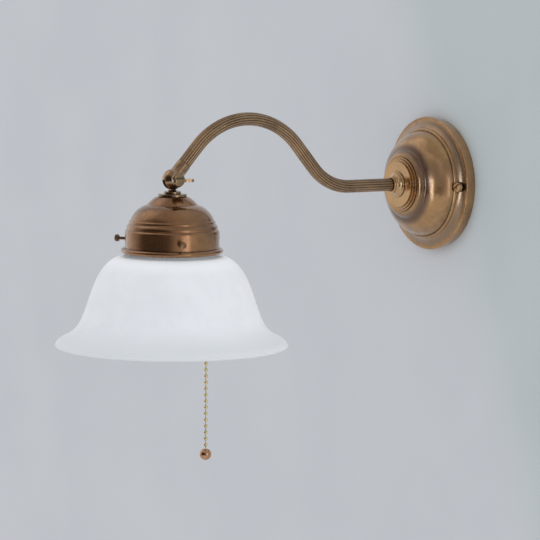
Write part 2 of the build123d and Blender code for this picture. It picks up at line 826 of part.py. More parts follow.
boss_foot = holder_top - holder_boss_height
cap_wall = holder_boss_height + 2 * holder_wall
with BuildPart() as holder_cap:
    with BuildSketch(HEAD):
        with BuildLine():
            boss = Polyline(
                (stud_radius + loose, holder_top - cap_wall),
                (stud_radius + loose, holder_top),
                (holder_boss_radius, holder_top),
                (holder_boss_radius, boss_foot),
            )
            cover = SagittaArc(
                boss @ 1, (holder_radius, holder_shoulder_z), -holder_shoulder_bulge
            )
            skirt = Polyline(
                cover @ 1,
                (holder_radius, holder_cap_end),
                (holder_radius - holder_wall, holder_cap_end),
                (holder_radius - holder_wall, holder_shoulder_z),
            )
            SagittaArc(skirt @ 1, (holder_boss_radius, holder_top - cap_wall), holder_shoulder_bulge)
            Line((holder_boss_radius, holder_top - cap_wall), boss @ 0)
        make_face()
    revolve(axis=HEAD_AXIS)
finish(holder_cap, "holder_cap")

with BuildPart() as holder_shell:
    with BuildSketch(head_plane(holder_end)):
        Circle(holder_radius)
        Circle(holder_radius - holder_wall, mode=Mode.SUBTRACT)
    extrude(amount=holder_cap_end - holder_end)
    with BuildSketch(head_plane(holder_end)):
        Circle(holder_radius + holder_rim_step)
        Circle(holder_radius - holder_wall, mode=Mode.SUBTRACT)
    extrude(amount=holder_rim_height)
    chamfer(holder_shell.edges().group_by(SortBy.LENGTH)[-1], 0.5)
finish(holder_shell, "holder_shell")

core_radius = holder_radius - holder_wall - loose
with BuildPart() as holder_core:
    with BuildSketch(head_plane(core_end)):
        Circle(core_radius)
    extrude(amount=core_top - core_end)
    fillet(holder_core.faces().sort_by(Axis.Z)[-1].edges(), 1.5)
    with BuildSketch(head_plane(core_end)):
        Circle(contact_radius + loose)
    extrude(amount=contact_thickness, mode=Mode.SUBTRACT)
finish(holder_core, "holder_core")

with BuildPart() as holder_liner:
    with BuildSketch(head_plane(holder_end + 0.6)):
        Circle(core_radius)
        Circle(socket_radius + socket_wall + loose, mode=Mode.SUBTRACT)
    extrude(amount=core_end - holder_end - 0.6)
finish(holder_liner, "holder_liner")

with BuildPart() as screw_shell:
    with BuildSketch(head_plane(socket_end)):
        Circle(socket_radius + socket_wall)
        Circle(socket_radius, mode=Mode.SUBTRACT)
    extrude(amount=core_end - socket_end)
finish(screw_shell, "screw_shell")

with BuildPart() as centre_contact:
    with BuildSketch(head_plane(core_end)):
        Circle(contact_radius)
    extrude(amount=contact_thickness)
    fillet(centre_contact.faces().sort_by(Axis.Z)[0].edges(), 0.6)
finish(centre_contact, "centre_contact")

# ---------------------------------------------------------------- pull switch
chain_y = knuckle_y + chain_offset
AT_CHAIN = Plane(origin=(0, chain_y, 0), x_dir=(1, 0, 0), z_dir=(0, -1, 0))
CHAIN_AXIS = Axis((0, chain_y, 0), (0, 0, 1))
switch_outer = chain_offset + guide_radius + 0.7

with BuildPart() as switch_housing:
    with BuildSketch(head_plane(switch_bottom)):
        with Locations((0, switch_outer / 2)):
            Rectangle(switch_width, switch_outer)
    extrude(amount=switch_top - switch_bottom)
    fillet(switch_housing.edges().filter_by(Axis.Z).group_by(Axis.Y)[-1], 3.0)
    with BuildSketch(head_plane(switch_bottom)):
        Circle(holder_radius + running)
    extrude(amount=switch_top - switch_bottom, mode=Mode.SUBTRACT)
    with BuildSketch(Plane(origin=(0, chain_y, switch_bottom), x_dir=(1, 0, 0), z_dir=(0, 0, 1))):
        Circle(guide_bore)
    extrude(amount=plunger_top - switch_bottom + loose, mode=Mode.SUBTRACT)
finish(switch_housing, "switch_housing")

with BuildPart() as chain_guide:
    with BuildSketch(AT_CHAIN):
        with BuildLine():
            Polyline(
                (guide_bore, switch_bottom),
                (guide_radius, switch_bottom),
                (guide_radius, guide_end + 2.6),
                (guide_mouth_radius, guide_end + 0.8),
                (guide_mouth_radius, guide_end),
                (guide_mouth_radius - 0.7, guide_end),
                (guide_bore, guide_end + 2.4),
                close=True,
            )
        make_face()
    revolve(axis=CHAIN_AXIS)
finish(chain_guide, "chain_guide")

with BuildPart() as switch_plunger:
    with BuildSketch(Plane(origin=(0, chain_y, chain_pivot_z), x_dir=(1, 0, 0), z_dir=(0, 0, 1))):
        Circle(plunger_radius)
    extrude(amount=plunger_top - chain_pivot_z)
    with BuildSketch(Plane(origin=(0, chain_y, plunger_top - 2), x_dir=(1, 0, 0), z_dir=(0, 0, 1))):
        Circle(guide_bore - running)
    extrude(amount=2)
    with Locations((0, chain_y, chain_pivot_z)):
        Sphere(plunger_end_radius)
finish(switch_plunger, "switch_plunger")

# ---------------------------------------------------------------- bead chain and knob
with BuildPart() as pull_chain:
    with BuildSketch(AT_CHAIN):
        with BuildLine():
            top = chain_pivot_z - plunger_end_radius - loose
            at = Line((0, top), (link_radius, top)) @ 1
            for i in range(bead_count):
                z = last_bead_z + (bead_count - 1 - i) * bead_pitch
                half = (bead_radius**2 - link_radius**2) ** 0.5
                Line(at, (link_radius, z + half))
                arc = ThreePointArc((link_radius, z + half), (bead_radius, z), (link_radius, z - half))
                at = arc @ 1
            Polyline(at, (link_radius, knob_z + knob_radius), (0, knob_z + knob_radius), (0, top))
        make_face()
    revolve(axis=CHAIN_AXIS)
finish(pull_chain, "pull_chain")

with BuildPart() as pull_knob:
    with Locations((0, chain_y, knob_z)):
        Sphere(knob_radius)
    with BuildSketch(Plane(origin=(0, chain_y, knob_z + knob_radius), x_dir=(1, 0, 0), z_dir=(0, 0, 1))):
        Circle(2 * knob_radius)
    extrude(amount=-0.25, mode=Mode.SUBTRACT)
finish(pull_knob, "pull_knob")
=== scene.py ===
from math import cos, pi, radians, sin, sqrt

import bmesh
import bpy
from mathutils import Matrix, Vector


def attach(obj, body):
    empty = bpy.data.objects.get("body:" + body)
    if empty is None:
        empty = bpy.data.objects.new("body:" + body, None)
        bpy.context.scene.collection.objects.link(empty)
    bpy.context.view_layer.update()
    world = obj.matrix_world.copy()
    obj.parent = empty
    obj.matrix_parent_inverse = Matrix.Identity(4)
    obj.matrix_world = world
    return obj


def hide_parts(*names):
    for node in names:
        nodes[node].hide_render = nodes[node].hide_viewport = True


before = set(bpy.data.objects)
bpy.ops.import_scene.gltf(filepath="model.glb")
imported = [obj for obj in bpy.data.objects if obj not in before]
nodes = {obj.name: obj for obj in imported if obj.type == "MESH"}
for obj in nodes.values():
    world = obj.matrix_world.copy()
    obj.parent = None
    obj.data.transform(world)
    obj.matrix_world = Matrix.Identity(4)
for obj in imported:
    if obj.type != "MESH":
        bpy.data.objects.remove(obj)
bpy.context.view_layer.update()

# Lengths are in metres. The wall is the plane Y = 0, the lamp stands out from it towards -Y and
# +Z is up. The origin is the middle of the rose's back.
MM = 0.001

# The head's axis and the bead chain, as the solids have them
HEAD_Y = -279.0 * MM
CHAIN_Y = -244.1 * MM
CHAIN_TOP_Z = -81.0 * MM
LAST_BEAD_Z = -219.9 * MM
KNOB_TOP_Z = -223.1 * MM
BEAD_PITCH = 5.47 * MM
BEAD_COUNT = 26
BEAD_RADIUS = 1.82 * MM
LINK_RADIUS = 0.45 * MM

# What the finer chain adds: a seam and a dimple round each hole, whose angle is in radians from the
# bead's axis, and links that end just above the knob
SEAM_DEPTH = 0.06 * MM
HOLE_DEPTH = 0.25 * MM
DIMPLE_RADIUS = 0.72 * MM
DIMPLE_ANGLE = 0.42
KNOB_CLEARANCE = 0.2 * MM
BEAD_ROWS, BEAD_STEPS = 14, 24
LINK_STEPS = 10

# The gallery screws, as the solids have them: degrees round the head's axis from +X, their height,
# and their lengths measured outward from that axis
SCREW_ANGLES = (-20.9, 99.1, 219.1)
SCREW_Z = -39.8 * MM
SCREW_TIP = 37.2 * MM
SCREW_SHANK_RADIUS = 1.35 * MM
SCREW_HEAD_START = 48.6 * MM
SCREW_HEAD_LENGTH = 3.6 * MM
SCREW_HEAD_RADIUS = 3.05 * MM

# What the finer screws add: a bevelled tip, a thread and a knurled head
TIP_BEVEL = 0.4 * MM
THREAD_PITCH = 0.5 * MM
THREAD_DEPTH = 0.18 * MM
THREAD_MARGIN = 0.8 * MM
KNURL_TEETH = 20
KNURL_DEPTH = 0.22 * MM
STEPS_PER_TOOTH = 4


# ---------------------------------------------------------------- camera
# Degrees that the view turns from straight at the wall, looks down and leans
VIEW_AZIMUTH, VIEW_PITCH, VIEW_ROLL = 56.783, 5.980, 0.494
VIEW_PLACE = (2.086563, -1.545061, 0.190648)
LENS, SENSOR_WIDTH = 190.99, 36.0


def make_camera():
    """The photograph's viewpoint, from the circles of the shade, the gallery and the rose."""
    azimuth, pitch, roll = radians(VIEW_AZIMUTH), radians(VIEW_PITCH), radians(VIEW_ROLL)
    forward = Vector((-sin(azimuth) * cos(pitch), cos(azimuth) * cos(pitch), -sin(pitch)))
    level = Vector((cos(azimuth), sin(azimuth), 0))
    upright = level.cross(forward)
    right = level * cos(roll) + upright * sin(roll)
    up = upright * cos(roll) - level * sin(roll)
    data = bpy.data.cameras.new("camera")
    data.lens = LENS
    data.sensor_width = SENSOR_WIDTH
    data.clip_start, data.clip_end = 0.1, 50
    camera = bpy.data.objects.new("camera", data)
    rows = [(right[i], up[i], -forward[i], VIEW_PLACE[i]) for i in range(3)]
    camera.matrix_world = Matrix(rows + [(0, 0, 0, 1)])
    bpy.context.scene.collection.objects.link(camera)
    bpy.context.scene.camera = camera


# ---------------------------------------------------------------- node trees
class NodeTree:
    """Fills one node tree. Most helpers give back an output that another one takes."""

    def __init__(self, tree):
        self.tree = tree
        self.tree.nodes.clear()

    def node(self, kind, inputs=None, **settings):
        """Adds a node. An input is a value or another node's output."""
        made = self.tree.nodes.new(kind)
        for key, value in settings.items():
            setattr(made, key, value)
        for key, value in (inputs or {}).items():
            if isinstance(value, bpy.types.NodeSocket):
                self.tree.links.new(value, made.inputs[key])
            else:
                made.inputs[key].default_value = value
        return made

    def math(self, operation, first, second=0.0):
        return self.node("ShaderNodeMath", {0: first, 1: second}, operation=operation).outputs[0]

    def total(self, *parts):
        """The sum of some values, each with its weight."""
        terms = [self.math("MULTIPLY", value, weight) for value, weight in parts]
        result = terms[0]
        for term in terms[1:]:
            result = self.math("ADD", result, term)
        return result

    def vector(self, operation, first, second=(0, 0, 0), result=0):
        return self.node("ShaderNodeVectorMath", {0: first, 1: second}, operation=operation).outputs[result]

    def dot(self, first, second):
        return self.vector("DOT_PRODUCT", first, second, "Value")

    def ramp(self, value, low, high, to_low=0.0, to_high=1.0):
        """A soft step from to_low at low to to_high at high."""
        limits = {"From Min": low, "From Max": high, "To Min": to_low, "To Max": to_high}
        made = self.node("ShaderNodeMapRange", {"Value": value, **limits}, interpolation_type="SMOOTHSTEP")
        return made.outputs["Result"]


class Shader(NodeTree):
    """The node tree of one new material."""

    def __init__(self, name):
        self.material = bpy.data.materials.new(name)
        self.material.use_nodes = True
        super().__init__(self.material.node_tree)
        self.output = self.node("ShaderNodeOutputMaterial")
        self.place = self.node("ShaderNodeTexCoord").outputs["Object"]

    def mix(self, factor, first, second):
        """The first colour, or the second where the factor is 1."""
        return self.node("ShaderNodeMix", {0: factor, 6: first, 7: second}, data_type="RGBA").outputs[2]

    def noise(self, scale, detail=3.0, roughness=0.5, vector=None, distortion=0.0):
        """Cloudy values from 0 to 1, with this many clouds to the metre."""
        made = self.node(
            "ShaderNodeTexNoise",
            {
                "Vector": self.place if vector is None else vector,
                "Scale": scale,
                "Detail": detail,
                "Roughness": roughness,
                "Distortion": distortion,
            },
        )
        return made.outputs["Fac"]

    def round_edges(self, radius):
        return self.node("ShaderNodeBevel", {"Radius": radius}, samples=4).outputs["Normal"]

    def bump(self, height, distance, rounding=None):
        """A surface relief, on edges that are rounded off by the rounding if there is one."""
        inputs = {"Height": height, "Distance": distance, "Strength": 1.0}
        if rounding is not None:
            inputs["Normal"] = self.round_edges(rounding)
        return self.node("ShaderNodeBump", inputs).outputs["Normal"]

    def openness(self, distance):
        """1 on open surface, less in grooves and corners."""
        return self.node("ShaderNodeAmbientOcclusion", {"Distance": distance}, samples=6).outputs["AO"]

    def edges(self, radius):
        """0 on smooth surface, up to 1 on an edge."""
        surface = self.node("ShaderNodeNewGeometry").outputs["Normal"]
        return self.ramp(self.dot(self.round_edges(radius), surface), 0.995, 0.86)

    def distance_from_y_axis(self):
        flat = self.vector("MULTIPLY", self.place, (1, 0, 1))
        return self.node("ShaderNodeVectorMath", {0: flat}, operation="LENGTH").outputs["Value"]

    def turned(self, centre, axis, lines_per_metre):
        """Fine lines round an axis, as a tool or a brush leaves on a spinning piece."""
        drift = 1.6
        parts = self.node("ShaderNodeSeparateXYZ", {0: self.vector("SUBTRACT", self.place, centre)}).outputs
        across = [parts[i] for i in range(3) if i != axis]
        squares = [self.math("POWER", part, 2.0) for part in across]
        radius = self.math("SQRT", self.math("ADD", *squares))
        safe = self.math("MAXIMUM", radius, 1e-5)
        cosine, sine = [self.math("DIVIDE", part, safe) for part in across]
        place = self.node(
            "ShaderNodeCombineXYZ",
            {
                0: self.total((radius, lines_per_metre), (cosine, drift)),
                1: self.total((parts[axis], lines_per_metre), (sine, drift)),
                2: self.math("MULTIPLY", cosine, drift),
            },
        )
        return self.noise(1.0, 2.0, 0.6, place.outputs[0])

    def finish(self, **sockets):
        """Ends the tree in a Principled BSDF with these sockets."""
        made = self.node("ShaderNodeBsdfPrincipled", {k.replace("_", " "): v for k, v in sockets.items()})
        self.tree.links.new(made.outputs[0], self.output.inputs["Surface"])
        return self.material


def linear(channel):
    """One channel of a screen colour, 0 to 255, as a linear one."""
    if channel < 10.3:
        return channel / 255 / 12.92
    return ((channel / 255 + 0.055) / 1.055) ** 2.4


def srgb(red, green, blue):
    """A screen colour, 0 to 255, as a linear one."""
    return (linear(red), linear(green), linear(blue), 1.0)


# ---------------------------------------------------------------- metals
def aged_brass(
    name, gold, brown, dark, spun=None, roughness=(0.24, 0.34), groove=1.6 * MM, depth=(0.9, 0.5), rings=()
):
    """Lacquered antique brass: brown patina, painted shade in its grooves, rubbed golden edges, fine working
    lines.

    The painted shade in a groove of that width starts where its openness is the first number of depth,
    and is fully dark at the second. A turned piece has the centre, the axis and the lines to the metre of
    its working lines in spun. A ring of painted light and shade is a radius round the Y axis, a
    half-width, a share and the colour that is painted there.
    """
    s = Shader(name)
    clouds = s.noise(34.0, 4.0, 0.6, distortion=0.4)
    mottle = s.noise(210.0, 5.0, 0.62)
    grain = s.noise(2600.0, 3.0, 0.6)
    open_surface = s.openness(groove)
    edge = s.math("MULTIPLY", s.edges(0.55 * MM), s.ramp(open_surface, 0.72, 0.95))
    rubbed = tuple(min(1.0, c * 1.5) for c in gold[:3]) + (1.0,)
    patina = s.ramp(s.total((clouds, 0.7), (mottle, 0.3)), 0.36, 0.64)
    colour = s.mix(s.math("MULTIPLY", patina, 0.8), gold, brown)
    # Painted highlight and shade, in rings round the Y axis
    for radius, half, share, tone in rings:
        off = s.math("ABSOLUTE", s.math("SUBTRACT", s.distance_from_y_axis(), radius))
        colour = s.mix(s.ramp(off, 0.2 * half, half, share, 0.0), colour, tone)
    # Painted shade: grooves and recesses darken towards the dark colour as their openness falls
    colour = s.mix(s.ramp(open_surface, *depth, 0.0, 0.92), colour, dark)
    colour = s.mix(s.math("MULTIPLY", edge, 0.5), colour, rubbed)
    rough = s.ramp(s.total((patina, 0.6), (grain, 0.4)), 0.2, 0.8, *roughness)
    height = s.total((grain, 0.4), (mottle, 0.5))
    if spun:
        lines = s.turned(*spun)
        height = s.math("ADD", height, s.math("MULTIPLY", lines, 0.6))
        rough = s.math("ADD", rough, s.math("MULTIPLY", s.math("SUBTRACT", lines, 0.5), 0.1))
        colour = s.mix(s.ramp(lines, 0.5, 0.85, 0.0, 0.12), colour, dark)
    return s.finish(
        Base_Color=colour,
        Metallic=1.0,
        Roughness=rough,
        Coat_Weight=0.8,
        Coat_Roughness=0.12,
        Coat_IOR=1.5,
        Normal=s.bump(height, 0.008 * MM, 0.3 * MM),
    )


def bright_brass(name, colour, tarnish, roughness):
    """Bright plated or turned brass with a little tarnish in its corners."""
    s = Shader(name)
    spots = s.noise(420.0, 4.0, 0.6)
    grain = s.noise(1800.0, 3.0, 0.6)
    corner = s.ramp(s.openness(0.9 * MM), 0.85, 0.35, 0.0, 0.85)
    mixed = s.mix(s.ramp(spots, 0.5, 0.75, 0.0, 0.35), colour, tarnish)
    mixed = s.mix(corner, mixed, tarnish)
    return s.finish(
        Base_Color=mixed,
        Metallic=1.0,
        Roughness=s.ramp(grain, 0.3, 0.7, roughness, roughness + 0.12),
        Normal=s.bump(grain, 0.006 * MM),
    )


def zinc_steel(name):
    """Zinc-plated sheet: faint crystal patches and rolling lines."""
    s = Shader(name)
    cells = s.node("ShaderNodeTexVoronoi", {"Vector": s.place, "Scale": 260.0, "Randomness": 1.0})
    rolled = s.noise(1.0, 3.0, 0.6, s.vector("MULTIPLY", s.place, (60.0, 900.0, 2400.0)))
    patches = s.math("MULTIPLY", cells.outputs["Distance"], 0.5)
    shade = s.mix(patches, srgb(176, 178, 176), srgb(140, 143, 146))
    shade = s.mix(s.ramp(rolled, 0.4, 0.7, 0.0, 0.4), shade, srgb(120, 122, 124))
    return s.finish(
        Base_Color=shade,
        Metallic=1.0,
        Roughness=s.ramp(rolled, 0.3, 0.7, 0.3, 0.46),
        Normal=s.bump(rolled, 0.01 * MM, 0.3 * MM),
    )


# ---------------------------------------------------------------- glass, ceramic and plastic
def opal_glass(name):
    """Satin opal glass: soft white body, faint cloudiness, a slightly wavy blown surface, painted shade at
    the lip and painted light at the neck.
    """
    s = Shader(name)
    waves = s.noise(16.0, 2.0, 0.4)
    clouds = s.noise(60.0, 4.0, 0.55)
    frost = s.noise(3200.0, 2.0, 0.6)
    body = s.mix(s.ramp(clouds, 0.3, 0.7), srgb(227, 229, 233), srgb(223, 225, 229))
    up = s.node("ShaderNodeSeparateXYZ", {0: s.place}).outputs[2]
    # Painted shade darkens the bell towards its lip, and painted light brightens it near the neck
    lip_shade_mask = s.ramp(up, -104 * MM, -127 * MM)
    neck_light_mask = s.ramp(up, -66 * MM, -54 * MM)
    colour = s.mix(neck_light_mask, s.mix(lip_shade_mask, body, srgb(211, 214, 217)), srgb(236, 240, 244))
    return s.finish(
        Base_Color=colour,
        Roughness=s.ramp(frost, 0.3, 0.7, 0.5, 0.6),
        Subsurface_Weight=0.55,
        Subsurface_Radius=(0.0042, 0.0044, 0.0048),
        Subsurface_Scale=1.0,
        Specular_IOR_Level=0.38,
        Normal=s.bump(s.total((waves, 1.0), (frost, 0.012)), 0.35 * MM),
    )


def porcelain(name):
    """Glazed porcelain with small glaze pits."""
    s = Shader(name)
    pits = s.noise(900.0, 2.0, 0.5)
    tone = s.mix(s.noise(90.0, 3.0, 0.5), srgb(232, 229, 220), srgb(219, 215, 203))
    return s.finish(
        Base_Color=tone,
        Roughness=s.ramp(pits, 0.4, 0.8, 0.16, 0.34),
        Subsurface_Weight=0.15,
        Subsurface_Radius=(0.002, 0.002, 0.0015),
        Subsurface_Scale=1.0,
        Normal=s.bump(pits, 0.02 * MM, 0.4 * MM),
    )


def moulded(name, colour, second, roughness, grain=1500.0):
    """Moulded plastic or rubber: fine grain, soft edges and a slight tone drift."""
    s = Shader(name)
    fine = s.noise(grain, 3.0, 0.6)
    tone = s.mix(s.ramp(s.noise(120.0, 3.0, 0.55), 0.3, 0.7), colour, second)
    return s.finish(
        Base_Color=tone,
        Roughness=s.ramp(fine, 0.3, 0.7, roughness, roughness + 0.14),
        Normal=s.bump(fine, 0.02 * MM, 0.25 * MM),
    )


# ---------------------------------------------------------------- finishes
# The brown of the painted shade in the brass's grooves
GROOVE_SHADE_BROWN = srgb(56, 40, 33)

# Working lines to the metre of spun brass
SPUN_LINES = 1500.0

# Painted light on the rose: a painted highlight on its nose, painted shade in the valley round it and a
# painted grey reflection in the cove inside its rim
ROSE_PAINTED_LIGHT_RINGS = (
    (14 * MM, 16 * MM, 0.6, srgb(226, 182, 128)),
    (32 * MM, 6.5 * MM, 0.85, srgb(98, 72, 60)),
    (53.5 * MM, 4.5 * MM, 0.7, srgb(136, 114, 96)),
)

rose_brass = aged_brass(
    "rose_brass",
    srgb(192, 148, 98),
    srgb(146, 110, 78),
    GROOVE_SHADE_BROWN,
    spun=((0, 0, 0), 1, SPUN_LINES),
    roughness=(0.2, 0.3),
    groove=3 * MM,
    depth=(0.9, 0.35),
    rings=ROSE_PAINTED_LIGHT_RINGS,
)
gallery_brass = aged_brass(
    "gallery_brass",
    srgb(168, 120, 78),
    srgb(126, 88, 60),
    GROOVE_SHADE_BROWN,
    spun=((0, HEAD_Y, 0), 2, SPUN_LINES),
    roughness=(0.22, 0.3),
)
# The reeds' grooves get a near-black painted shade
tube_brass = aged_brass(
    "tube_brass",
    srgb(188, 149, 108),
    srgb(136, 104, 76),
    srgb(18, 12, 10),
    groove=2.0 * MM,
    depth=(0.98, 0.78),
)
knuckle_brass = aged_brass(
    "knuckle_brass", srgb(184, 146, 106), srgb(104, 78, 56), srgb(30, 22, 19), roughness=(0.12, 0.2)
)
thumb_brass = aged_brass(
    "thumb_brass", srgb(172, 140, 100), srgb(118, 90, 64), srgb(30, 23, 20), roughness=(0.14, 0.22)
)
fixing_brass = aged_brass(
    "fixing_brass", srgb(206, 168, 120), srgb(164, 124, 84), srgb(46, 32, 26), roughness=(0.16, 0.26)
)
screw_brass = aged_brass("screw_brass", srgb(160, 120, 84), srgb(112, 78, 56), srgb(36, 24, 19))
chain_brass = bright_brass("chain_brass", srgb(240, 222, 180), srgb(104, 72, 42), 0.08)
knob_brass = bright_brass("knob_brass", srgb(206, 158, 122), srgb(112, 74, 50), 0.1)
plain_brass = bright_brass("plain_brass", srgb(226, 196, 128), srgb(150, 112, 62), 0.24)
steel = zinc_steel("bracket_steel")
opal = opal_glass("opal_glass")
white_porcelain = porcelain("porcelain")
phenolic = moulded("switch_moulding", srgb(58, 44, 36), srgb(42, 32, 28), 0.2, 700.0)
terminal_plastic = moulded("terminal_plastic", srgb(226, 222, 208), srgb(214, 209, 192), 0.42)
sheath = moulded("flex_sheath", srgb(222, 218, 206), srgb(208, 203, 188), 0.45)
lead_plastic = moulded("lead_insulation", srgb(116, 78, 48), srgb(98, 64, 40), 0.36)

FINISHES = {
    rose_brass: ["wall_rose"],
    gallery_brass: ["gallery"],
    tube_brass: ["arm_tube"],
    knuckle_brass: ["knuckle_fork", "knuckle_tongue", "knuckle_washer"],
    thumb_brass: ["thumb_screw"],
    fixing_brass: ["rose_screws", "arm_collar"],
    knob_brass: ["pull_knob"],
    chain_brass: ["switch_plunger", "chain_guide"],
    plain_brass: ["terminal_clamps", "arm_nipple", "nipple_washer", "nipple_nut", "gallery_nut"]
    + ["screw_shell", "centre_contact", "holder_cap", "holder_shell"],
    steel: ["wall_bracket", "earth_screw", "terminal_screws"],
    opal: ["glass_shade"],
    white_porcelain: ["holder_core", "holder_liner"],
    phenolic: ["switch_housing"],
    terminal_plastic: ["terminal_block", "cable_bush"],
    sheath: ["arm_flex", "head_flex"],
    lead_plastic: ["arm_leads"],
}
for material, names in FINISHES.items():
    for name in names:
        for slot in nodes[name].material_slots:
            slot.material = material


# ---------------------------------------------------------------- meshes
def add_piece(name, mesh, material, body):
    """Makes an object of a finished bmesh, with its material and body."""
    data = bpy.data.meshes.new(name)
    mesh.normal_update()
    mesh.to_mesh(data)
    mesh.free()
    data.materials.append(material)
    piece = bpy.data.objects.new(name, data)
    bpy.context.scene.collection.objects.link(piece)
    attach(piece, body)
    return piece


def lathe(mesh, outline, place, steps, radius_at=None):
    """Turns an outline of (radius, height) points about the local Z axis and puts it in place."""
    rings = []
    for row, (radius, height) in enumerate(outline):
        if radius == 0:
            rings.append([mesh.verts.new(place @ Vector((0, 0, height)))])
            continue
        ring = []
        for i in range(steps):
            angle = 2 * pi * i / steps
            r = radius_at(row, radius, i) if radius_at else radius
            ring.append(mesh.verts.new(place @ Vector((r * cos(angle), r * sin(angle), height))))
        rings.append(ring)
    for lower, upper in zip(rings, rings[1:]):
        for i in range(steps):
            j = (i + 1) % steps
            corners = ((lower, i), (lower, j), (upper, j), (upper, i))
            unique = list(dict.fromkeys(ring[k % len(ring)] for ring, k in corners))
            if len(unique) > 2:
                mesh.faces.new(unique)


def smooth(piece, angle):
    """Smooth shading, with a crease where faces meet at more than the angle."""
    piece.data.shade_smooth()
    piece.data.set_sharp_from_angle(angle=radians(angle))


# ---------------------------------------------------------------- bead chain
def bead_outline():
    """Half of a hollow ball's section, from its lower hole past the seam to its upper hole."""
    hole = sqrt(BEAD_RADIUS**2 - LINK_RADIUS**2) - HOLE_DEPTH
    dimple = sqrt(BEAD_RADIUS**2 - DIMPLE_RADIUS**2)
    outline = [(LINK_RADIUS, -hole), (DIMPLE_RADIUS, -dimple)]
    for k in range(1, BEAD_ROWS):
        angle = -pi / 2 + DIMPLE_ANGLE + (pi - 2 * DIMPLE_ANGLE) * k / BEAD_ROWS
        radius = BEAD_RADIUS - (SEAM_DEPTH if 2 * k == BEAD_ROWS else 0.0)
        outline.append((radius * cos(angle), radius * sin(angle)))
    return outline + [(DIMPLE_RADIUS, dimple), (LINK_RADIUS, hole)]


def make_chain():
    """Hollow balls with a seam and a crimped hole at each end, on short round links."""
    mesh = bmesh.new()
    bead = bead_outline()
    centres = [LAST_BEAD_Z + i * BEAD_PITCH for i in range(BEAD_COUNT)]
    for z in centres:
        lathe(mesh, bead, Matrix.Translation((0, CHAIN_Y, z)), BEAD_STEPS)
    stops = [KNOB_TOP_Z + KNOB_CLEARANCE] + centres + [CHAIN_TOP_Z]
    for low, high in zip(stops, stops[1:]):
        link = [(0, low), (LINK_RADIUS, low), (LINK_RADIUS, high), (0, high)]
        lathe(mesh, link, Matrix.Translation((0, CHAIN_Y, 0)), LINK_STEPS)
    chain = add_piece("bead_chain", mesh, chain_brass, "pull_chain")
    smooth(chain, 50)
    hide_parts("pull_chain")


# ---------------------------------------------------------------- gallery screws
def screw_shank():
    """Half of the shank's section: a bevelled tip, the thread and a plain end at the head."""
    radius, start = SCREW_SHANK_RADIUS, SCREW_HEAD_START
    outline = [(0, SCREW_TIP), (radius - TIP_BEVEL, SCREW_TIP), (radius, SCREW_TIP + TIP_BEVEL)]
    height = SCREW_TIP + THREAD_MARGIN
    while height < start - THREAD_MARGIN:
        outline += [(radius, height), (radius - THREAD_DEPTH, height + THREAD_PITCH / 2)]
        height += THREAD_PITCH
    return outline + [(radius, start - 0.3 * MM), (radius, start)]


def screw_head():
    """Half of the head's section: a drum with soft corners and a dished end."""
    radius, start, end = SCREW_HEAD_RADIUS, SCREW_HEAD_START, SCREW_HEAD_START + SCREW_HEAD_LENGTH
    return [
        (radius - 0.55 * MM, start),
        (radius - 0.1 * MM, start + 0.3 * MM),
        (radius, start + 0.5 * MM),
        (radius, end - 0.9 * MM),
        (radius - 0.15 * MM, end - 0.6 * MM),
        (radius - 0.75 * MM, end - 0.1 * MM),
        (radius - 1.1 * MM, end),
        (radius - 1.5 * MM, end - 0.25 * MM),
        (0, end - 0.3 * MM),
    ]


def make_gallery_screw(number, angle):
    """A thumb-headed screw: threaded shank, knurled drum and a dished end."""
    shank, head = screw_shank(), screw_head()
    drum = {len(shank) + row for row, point in enumerate(head) if point[0] == SCREW_HEAD_RADIUS}

    def knurl(row, radius, i):
        """Teeth along the drum, fading into the end faces."""
        valley = row in drum and i % STEPS_PER_TOOTH in (0, 1)
        return radius - (KNURL_DEPTH if valley else 0.0)

    outward = Vector((cos(radians(angle)), sin(radians(angle)), 0))
    turn_to = outward.to_track_quat("Z", "Y").to_matrix().to_4x4()
    place = Matrix.Translation((0, HEAD_Y, SCREW_Z)) @ turn_to
    mesh = bmesh.new()
    lathe(mesh, shank + head, place, STEPS_PER_TOOTH * KNURL_TEETH, knurl)
    name = f"gallery_screw_{number}"
    screw = add_piece(f"{name}_knurled", mesh, screw_brass, name)
    smooth(screw, 30)
    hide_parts(name)


# ---------------------------------------------------------------- stage
# The wall's face lies just behind the rose's back, so that the two never meet
WALL_Y = 0.25 * MM
STAGE_SIDE, STAGE_TOP, STAGE_BOTTOM, STAGE_FRONT = 3.0, 2.0, -1.3, -4.0
# The wall's own grey, and the darker green grey of the painted shade towards its right and top
WALL_BLUE_GREY, WALL_SHADED_GREEN_GREY = srgb(201, 204, 209), srgb(188, 196, 199)
FLOOR_GREY = srgb(205, 207, 208)


def stage_plane(name, corners, material):
    """One rectangle of the surroundings, seen by the camera and in reflections only."""
    data = bpy.data.meshes.new(name)
    data.from_pydata(corners, [], [(0, 1, 2, 3)])
    data.materials.append(material)
    plane = bpy.data.objects.new(name, data)
    bpy.context.scene.collection.objects.link(plane)
    plane.visible_shadow = False
    plane.visible_diffuse = False


def stage_paint(name, first, second, axis, low, high):
    """Matt paint that drifts from one tone to the other, seen from its front only."""
    s = Shader(name)
    tone = s.mix(s.ramp(s.dot(s.place, axis), low, high), first, second)
    tone = s.mix(s.ramp(s.noise(7.0, 2.0, 0.5), 0.3, 0.7, 0.0, 0.06), tone, (0.9, 0.9, 0.9, 1.0))
    paint = s.node("ShaderNodeBsdfDiffuse", {"Color": tone})
    clear = s.node("ShaderNodeBsdfTransparent")
    behind = s.node("ShaderNodeNewGeometry").outputs["Backfacing"]
    both = s.node("ShaderNodeMixShader", {0: behind, 1: paint.outputs[0], 2: clear.outputs[0]})
    s.tree.links.new(both.outputs[0], s.output.inputs["Surface"])
    return s.material


